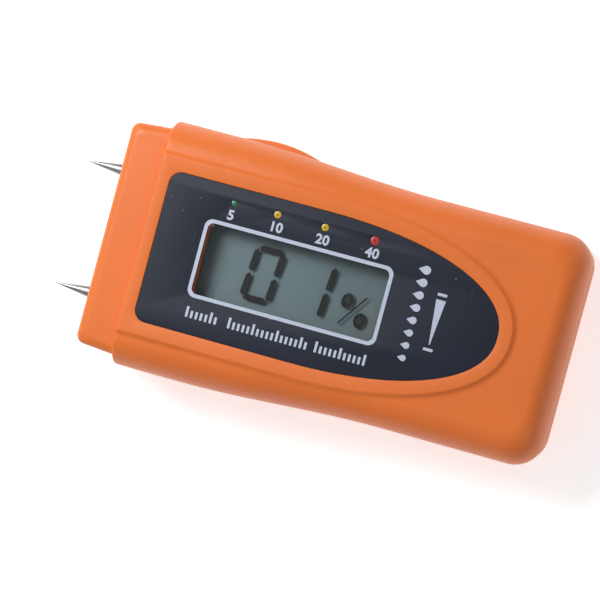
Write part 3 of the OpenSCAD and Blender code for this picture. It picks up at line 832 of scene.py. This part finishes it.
class Shader:
    """Small helper that builds one procedural material."""

    def __init__(self, name):
        self.material = bpy.data.materials.new(name)
        self.material.use_nodes = True
        self.tree = self.material.node_tree
        self.tree.nodes.clear()
        self.surface = self.node("BsdfPrincipled")
        output = self.node("OutputMaterial")
        self.link(self.surface.outputs[0], output.inputs[0])
        self.place = self.node("TexCoord").outputs["Object"]

    def node(self, kind, **values):
        """A new node. A name with a capital letter is an input, and any other is a setting."""
        made = self.tree.nodes.new("ShaderNode" + kind)
        for key, value in values.items():
            if key[0].isupper():
                made.inputs[key.replace("_", " ")].default_value = value
            else:
                setattr(made, key, value)
        return made

    def link(self, source, target):
        self.tree.links.new(source, target)

    def feed(self, target, value):
        """Sets an input to a number or a colour, or links another node's output to it."""
        if isinstance(value, (int, float)):
            target.default_value = value
        elif isinstance(value, tuple):
            target.default_value = (*value, 1)
        else:
            self.link(value, target)

    def stretched(self, scale):
        """Object coordinates with a different scale along each axis."""
        mapping = self.node("Mapping", Scale=scale)
        self.link(self.place, mapping.inputs["Vector"])
        return mapping.outputs[0]

    def noise(self, scale, detail=3.0, roughness=0.5, place=None, distortion=0.0):
        noise = self.node("TexNoise", Scale=scale, Detail=detail, Roughness=roughness, Distortion=distortion)
        self.link(place or self.place, noise.inputs["Vector"])
        return noise.outputs["Fac"]

    def spread(self, value, low=0, high=1, start=0.3, end=0.7):
        """Maps a value from one range to another, and clamps it."""
        mapped = self.node("MapRange", From_Min=start, From_Max=end, To_Min=low, To_Max=high)
        self.link(value, mapped.inputs["Value"])
        return mapped.outputs[0]

    def maths(self, operation, first, second):
        made = self.node("Math", operation=operation)
        self.feed(made.inputs[0], first)
        self.feed(made.inputs[1], second)
        return made.outputs[0]

    def mix(self, factor, first, second):
        """Mixes two colours, each a tuple or another node's output."""
        made = self.node("Mix", data_type="RGBA")
        self.link(factor, made.inputs["Factor"])
        self.feed(made.inputs["A"], first)
        self.feed(made.inputs["B"], second)
        return made.outputs["Result"]

    def colour(self, factor, first, second):
        self.link(self.mix(factor, first, second), self.surface.inputs["Base Color"])

    def roughness(self, value, low, high, start=0.3, end=0.7):
        self.link(self.spread(value, low, high, start, end), self.surface.inputs["Roughness"])

    def bumps(self, *layers):
        """Bump layers, each a (height, strength, distance in millimetres)."""
        normal = None
        for height, strength, distance in layers:
            bump = self.node("Bump", Strength=strength, Distance=distance * MM)
            self.link(height, bump.inputs["Height"])
            if normal:
                self.link(normal, bump.inputs["Normal"])
            normal = bump.outputs[0]
        self.link(normal, self.surface.inputs["Normal"])

    def sockets(self, **values):
        for name, value in values.items():
            self.surface.inputs[name.replace("_", " ")].default_value = value


def shade(colour, factor):
    return tuple(min(1.0, channel * factor) for channel in colour)


def moulded_plastic(name, colour, rough=0.42, grain=0.5, edge_wear_and_highlight=0.0):
    """Moulded plastic: spark-eroded grain, faint flow marks, and paler convex edges, partly rubbed wear and
    partly a painted highlight.
    """
    made = Shader(name)
    clouds = made.noise(45, 2)
    flow = made.noise(1, 4, 0.55, made.stretched((60, 240, 240)), 0.6)
    grains = made.noise(5200, 2, 0.6)
    pits = made.noise(1500, 3, 0.65)
    base = made.mix(made.spread(clouds), shade(colour, 0.955), shade(colour, 1.04))
    base = made.mix(made.spread(flow, 0, 0.16), base, shade(colour, 1.12))
    base = made.mix(made.spread(grains, 0, 0.22), base, shade(colour, 0.84))
    # Convex edges are painted paler: partly rubbed wear, partly a painted highlight where edges catch the
    # light.
    edges = made.node("NewGeometry").outputs["Pointiness"]
    rubbed_and_highlit = made.maths("MULTIPLY", made.spread(edges, 0, 1, 0.53, 0.62), made.spread(pits, 0.15, 0.75))
    pale = tuple(0.133 + 0.867 * channel for channel in colour)
    made.colour(made.maths("MULTIPLY", rubbed_and_highlit, edge_wear_and_highlight), base, pale)
    dull = made.maths("ADD", pits, made.maths("MULTIPLY", grains, 0.5))
    made.roughness(dull, rough - 0.07, rough + 0.1, 0.5, 1.0)
    made.bumps((grains, 0.35 * grain, 0.03), (pits, 0.22 * grain, 0.05), (flow, 0.08, 0.08))
    made.sockets(Specular_IOR_Level=0.36)
    return made.material


def film(name, colour, rough=0.5):
    """Printed polyester film: fine satin texture, a few hair scratches and dust specks."""
    made = Shader(name)
    satin = made.noise(7000, 2, 0.5)
    cloud = made.noise(70, 3)
    hairs = made.noise(1, 2, 0.4, made.stretched((3200, 110, 300)), 0.3)
    hair = made.spread(hairs, 0, 1, 0.75, 0.80)
    specks = made.node("TexVoronoi", Scale=420)
    made.link(made.place, specks.inputs["Vector"])
    speck = made.maths("MULTIPLY", made.spread(specks.outputs["Distance"], 1, 0, 0.05, 0.09),
                       made.spread(made.noise(150, 1), 0, 1, 0.60, 0.66))
    base = made.mix(made.spread(cloud), shade(colour, 0.93), shade(colour, 1.08))
    base = made.mix(made.maths("MULTIPLY", hair, 0.07), base, (0.4, 0.42, 0.46))
    made.colour(made.maths("MULTIPLY", speck, 0.35), base, (0.5, 0.5, 0.5))
    dull = made.maths("ADD", satin, made.maths("MULTIPLY", hair, 0.4))
    made.roughness(dull, rough - 0.05, rough + 0.1)
    made.bumps((satin, 0.12, 0.01), (cloud, 0.04, 0.05))
    made.sockets(Specular_IOR_Level=0.28)
    return made.material


def ink(name, colour):
    """Screen-printed ink with a slightly uneven coat."""
    made = Shader(name)
    coat = made.noise(2600, 4, 0.6)
    made.colour(made.spread(coat), shade(colour, 0.88), shade(colour, 1.05))
    made.roughness(coat, 0.4, 0.6)
    made.bumps((coat, 0.2, 0.01))
    return made.material


def clear_pane(name, tint, alpha, rough):
    """Clear plastic or glass seen through its alpha, with faint smears in the gloss."""
    made = Shader(name)
    smears = made.noise(1, 4, 0.6, made.stretched((90, 260, 90)), 1.2)
    made.colour(made.spread(smears), shade(tint, 0.9), tint)
    made.roughness(smears, rough, rough + 0.12)
    made.sockets(Alpha=alpha, Specular_IOR_Level=0.5)
    return made.material


def lamp_window(name, rim, core):
    """Coloured lamp window with a darker middle, where the lamp stands behind it."""
    made = Shader(name)
    middle = made.node("VectorMath", operation="DISTANCE")
    middle.inputs[1].default_value = (0.5, 0.5, 0.5)
    flat = made.node("VectorMath", operation="MULTIPLY_ADD")
    flat.inputs[1].default_value = (1, 1, 0)
    flat.inputs[2].default_value = (0, 0, 0.5)
    made.link(made.node("TexCoord").outputs["Generated"], flat.inputs[0])
    made.link(flat.outputs[0], middle.inputs[0])
    speckle = made.noise(3500, 3)
    ringed = made.mix(made.spread(middle.outputs["Value"], 1, 0, 0.12, 0.34), rim, core)
    made.colour(made.spread(speckle, 0, 0.25), ringed, shade(rim, 0.7))
    made.roughness(speckle, 0.22, 0.34)
    made.bumps((speckle, 0.1, 0.01))
    made.sockets(Coat_Weight=0.3, Coat_Roughness=0.15)
    return made.material


def display_film(name, colour):
    """Grey-green rear film of the display: fine sparkle and a slightly darker, cloudy field."""
    made = Shader(name)
    sparkle = made.noise(9000, 2, 0.7)
    cloud = made.noise(90, 3, 0.5)
    base = made.mix(made.spread(cloud), shade(colour, 0.92), shade(colour, 1.08))
    made.colour(made.spread(sparkle, 0, 0.3), base, shade(colour, 1.35))
    made.roughness(sparkle, 0.45, 0.7)
    made.bumps((sparkle, 0.25, 0.01))
    return made.material


def liquid_crystal(name):
    """Switched-on display segments: nearly black, with a faint bluish cell structure."""
    made = Shader(name)
    cells = made.noise(6000, 2)
    made.colour(made.spread(cells), (0.006, 0.006, 0.009), (0.014, 0.014, 0.02))
    made.roughness(cells, 0.3, 0.45)
    return made.material


def ground_metal(name, colour, rough=0.28, grind=(4000, 60, 60), strength=0.25):
    """Metal with fine grinding marks that run across one axis, and duller patches."""
    made = Shader(name)
    marks = made.noise(1, 4, 0.65, made.stretched(grind))
    patches = made.noise(500, 3, 0.6)
    base = made.mix(made.spread(patches), shade(colour, 0.86), shade(colour, 1.04))
    made.colour(made.spread(marks, 0, 0.35), base, shade(colour, 0.7))
    dull = made.maths("ADD", marks, made.maths("MULTIPLY", patches, 0.6))
    made.roughness(dull, rough - 0.08, rough + 0.14, 0.6, 1.0)
    made.bumps((marks, strength, 0.02))
    made.sockets(Metallic=1.0)
    return made.material


def circuit_board(name):
    """Green solder mask over copper tracks, seen as a slightly raised pattern."""
    made = Shader(name)
    tracks = made.node("TexBrick", Scale=260, Mortar_Size=0.03)
    made.link(made.place, tracks.inputs["Vector"])
    weave = made.noise(2200, 3)
    base = made.mix(tracks.outputs["Fac"], (0.01, 0.09, 0.03), (0.03, 0.19, 0.06))
    made.colour(made.spread(weave, 0, 0.3), base, (0.01, 0.05, 0.02))
    made.roughness(weave, 0.25, 0.4)
    made.bumps((tracks.outputs["Fac"], 0.4, 0.03), (weave, 0.15, 0.02))
    return made.material


ORANGE = (0.77, 0.176, 0.033)
SLATE = (0.011, 0.016, 0.030)

MATERIALS = {
    # The orange case gets paler edges: partly rubbed wear, partly a painted highlight.
    "orange_case": moulded_plastic("orange_plastic", ORANGE, edge_wear_and_highlight=0.5),
    "label_film": film("slate_film", SLATE),
    "print": ink("pale_ink", (0.485, 0.546, 0.679)),
    "window_clear": clear_pane("window_plastic", (0.02, 0.022, 0.024), 0.06, 0.06),
    "front_glass": clear_pane("display_front_glass", (0.018, 0.022, 0.02), 0.05, 0.04),
    "lens_green": lamp_window("green_lamp_window", (0.03, 0.2, 0.1), (0.04, 0.16, 0.09)),
    "lens_yellow": lamp_window("yellow_lamp_window", (0.62, 0.42, 0.02), (0.3, 0.2, 0.02)),
    "lens_red": lamp_window("red_lamp_window", (0.5, 0.03, 0.02), (0.3, 0.02, 0.015)),
    "display_glass": display_film("display_rear_film", (0.178, 0.265, 0.29)),
    "segments": liquid_crystal("liquid_crystal"),
    "silver_film": ground_metal("reflector_foil", (0.8, 0.8, 0.8), 0.2),
    "white_plastic": moulded_plastic("white_holder_plastic", (0.78, 0.77, 0.73), 0.5, 0.5),
    "contact_rubber": moulded_plastic("conductive_rubber", (0.04, 0.04, 0.045), 0.8, 1.0),
    "circuit_board": circuit_board("solder_mask"),
    "black_plastic": moulded_plastic("black_package_plastic", (0.02, 0.02, 0.022), 0.55, 0.8),
    "chip_parts": moulded_plastic("chip_ceramic", (0.35, 0.26, 0.16), 0.5, 0.4),
    "trimmer_blue": moulded_plastic("blue_trimmer_plastic", (0.03, 0.13, 0.42), 0.4, 0.5),
    "contact_brass": ground_metal("contact_brass_metal", (0.78, 0.55, 0.24), 0.3),
    "pin_steel": ground_metal("needle_steel", (0.4, 0.4, 0.41), 0.38, (5200, 90, 90), 0.2),
    "cell_steel": ground_metal("cell_nickel", (0.68, 0.68, 0.67), 0.25, (90, 3200, 90)),
    "screw_steel": ground_metal("zinc_screw_steel", (0.6, 0.6, 0.6), 0.32, (900, 900, 2600)),
}


def finish_piece(piece, finish, *replaced, body="case", slot=None):
    """Gives a new piece its material, its body and the nodes that it stands for; its slot argument is not
    used.
    """
    piece.data.materials.clear()
    piece.data.materials.append(MATERIALS[finish])
    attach(piece, body)
    if replaced:
        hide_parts(*replaced)


# ---------------- the whole meter

front_shell = build_front_shell()
rear_shell, outside = build_rear_shell()
finish_piece(front_shell, "orange_case", "front_case")
finish_piece(rear_shell, "orange_case", "rear_case")
finish_piece(build_door(outside), "orange_case", "battery_door", body="battery_door")
finish_piece(build_button(), "orange_case", "power_button", body="power_button")

finish_piece(build_label(), "label_film", "face_label")
for piece in (build_border(), build_scale_ticks(), build_drop_row(), build_range_wedge()):
    finish_piece(piece, "print", slot="label_film")
for text, x in NUMBERS.items():
    finish_piece(build_number(text, x), "print", slot="label_film")
for node, x, spot in zip(LENS_NODES, LAMP_X, LAMP_SPOT):
    kind = "_".join(node.split("_")[:2])
    finish_piece(build_lens(node, x, spot), kind, node)

finish_piece(build_pane(), "window_clear", "display_window")
rear_plate, front_plate = build_display_glass()
finish_piece(rear_plate, "display_glass", "lcd_glass")
finish_piece(front_plate, "front_glass", slot="display_glass")
finish_piece(build_digits(), "segments", slot="display_glass")

for node, side in (("probe_pin_upper", 1), ("probe_pin_lower", -1)):
    finish_piece(build_pin(node, side), "pin_steel", node)
for node in ("coin_cell_outer", "coin_cell_middle", "coin_cell_inner"):
    finish_piece(build_cell(node), "cell_steel", node)
finish_piece(build_screws("case_screw_set", CASE_SCREWS, radius=1.1, head_radius=2.1, head_height=1.5,
                          seat_z=SCREW_SEAT_Z, tip_z=20, pitch=0.9), "screw_steel", "case_screws")
finish_piece(build_screws("board_screw_set", BOARD_SCREWS, radius=0.8, head_radius=1.5, head_height=1.1,
                          seat_z=15.8, tip_z=21, pitch=0.7), "screw_steel", "board_screws")

# Nodes whose CAD shape stays get the procedural finish of their own slot.
KEPT_NODES = {
    "silver_film": ["lcd_reflector"],
    "white_plastic": ["lcd_holder"],
    "contact_rubber": ["zebra_strip_upper", "zebra_strip_lower"],
    "circuit_board": ["main_board"],
    "black_plastic": ["controller_chip", "amplifier_chip", "chip_resistors", "switch_body",
                      "switch_plunger"],
    "chip_parts": ["chip_capacitors"],
    "trimmer_blue": ["calibration_trimmer"],
    "lens_green": ["led_green"],
    "lens_yellow": ["led_yellow_low", "led_yellow_high"],
    "lens_red": ["led_red"],
    "contact_brass": ["probe_socket_upper", "probe_socket_lower", "battery_contact_end",
                      "battery_contact_side"],
}
for finish, nodes in KEPT_NODES.items():
    for node in nodes:
        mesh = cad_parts[node].data
        mesh.materials.clear()
        mesh.materials.append(MATERIALS[finish])

# ---------------- floor, light and camera

def build_floor():
    """Plain pale floor, a little lit from within so that it stays white."""
    made = Shader("pale_floor")
    mottle = made.noise(30, 4)
    made.colour(made.spread(mottle), (0.86, 0.86, 0.86), (0.9, 0.9, 0.9))
    made.roughness(mottle, 0.6, 0.8)
    made.sockets(Emission_Color=(1, 1, 1, 1), Emission_Strength=0.55)
    size = 1500
    corners = [(-size, -size, 0), (size, -size, 0), (size, size, 0), (-size, size, 0)]
    floor = make_object("studio_floor", corners, [(0, 1, 2, 3)])
    floor.data.materials.append(made.material)


def area_light(name, place, target, size, power, colour=(1, 1, 1)):
    """A soft square light, in millimetres, that faces a point."""
    lamp = bpy.data.lights.new(name, "AREA")
    lamp.shape = "SQUARE"
    lamp.size = size * MM
    lamp.energy = power
    lamp.color = colour
    holder = linked(name, lamp)
    holder.location = Vector(place) * MM
    holder.rotation_euler = (Vector(target) - Vector(place)).to_track_quat("-Z", "Y").to_euler()


def build_world():
    """Even white surroundings that grow darker towards the horizon."""
    world = bpy.data.worlds.new("studio")
    world.use_nodes = True
    tree = world.node_tree
    tree.nodes.clear()
    kinds = ("TexCoord", "SeparateXYZ", "ValToRGB", "Background", "OutputWorld")
    place, split, ramp, back, output = (tree.nodes.new("ShaderNode" + kind) for kind in kinds)
    stops = [(0.0, (0.35, 0.35, 0.36, 1)), (0.6, (1, 1, 1, 1))]
    for element, (position, colour) in zip(ramp.color_ramp.elements, stops):
        element.position = position
        element.color = colour
    back.inputs["Strength"].default_value = 0.40
    tree.links.new(place.outputs["Generated"], split.inputs[0])
    tree.links.new(split.outputs["Z"], ramp.inputs[0])
    tree.links.new(ramp.outputs[0], back.inputs[0])
    tree.links.new(back.outputs[0], output.inputs[0])
    SCENE.world = world


def build_camera():
    """Camera nearly above the meter, tilted a little and rolled, as the meter is held."""
    tilt_x, tilt_y, roll = (math.radians(angle) for angle in (8.92, 1.23, 15.27))
    distance, focus = 450, Vector((-5.18, -2.86, 25.0))
    toward = Vector((math.sin(tilt_x), math.sin(tilt_y), 0))
    toward.z = math.sqrt(1 - toward.x ** 2 - toward.y ** 2)
    level = (Vector((1, 0, 0)) - toward * toward.x).normalized()
    upright = toward.cross(level)
    right = math.cos(roll) * level + math.sin(roll) * upright
    up = math.cos(roll) * upright - math.sin(roll) * level
    camera = linked("camera", bpy.data.cameras.new("camera"))
    turn = Matrix((right, up, toward)).transposed()
    camera.matrix_world = Matrix.Translation((focus + distance * toward) * MM) @ turn.to_4x4()
    camera.data.lens = 140
    camera.data.sensor_width = 36
    camera.data.clip_start = 0.01
    SCENE.camera = camera


build_floor()
build_world()
build_camera()
area_light("key_light", (-230, 125, 340), (-25, 0, 15), 170, 1.36, (1, 0.99, 0.98))
area_light("fill_light", (420, -380, 480), (0, 0, 15), 420, 0.2, (0.97, 0.98, 1))
SCENE.view_settings.view_transform = "Standard"
SCENE.view_settings.look = "None"
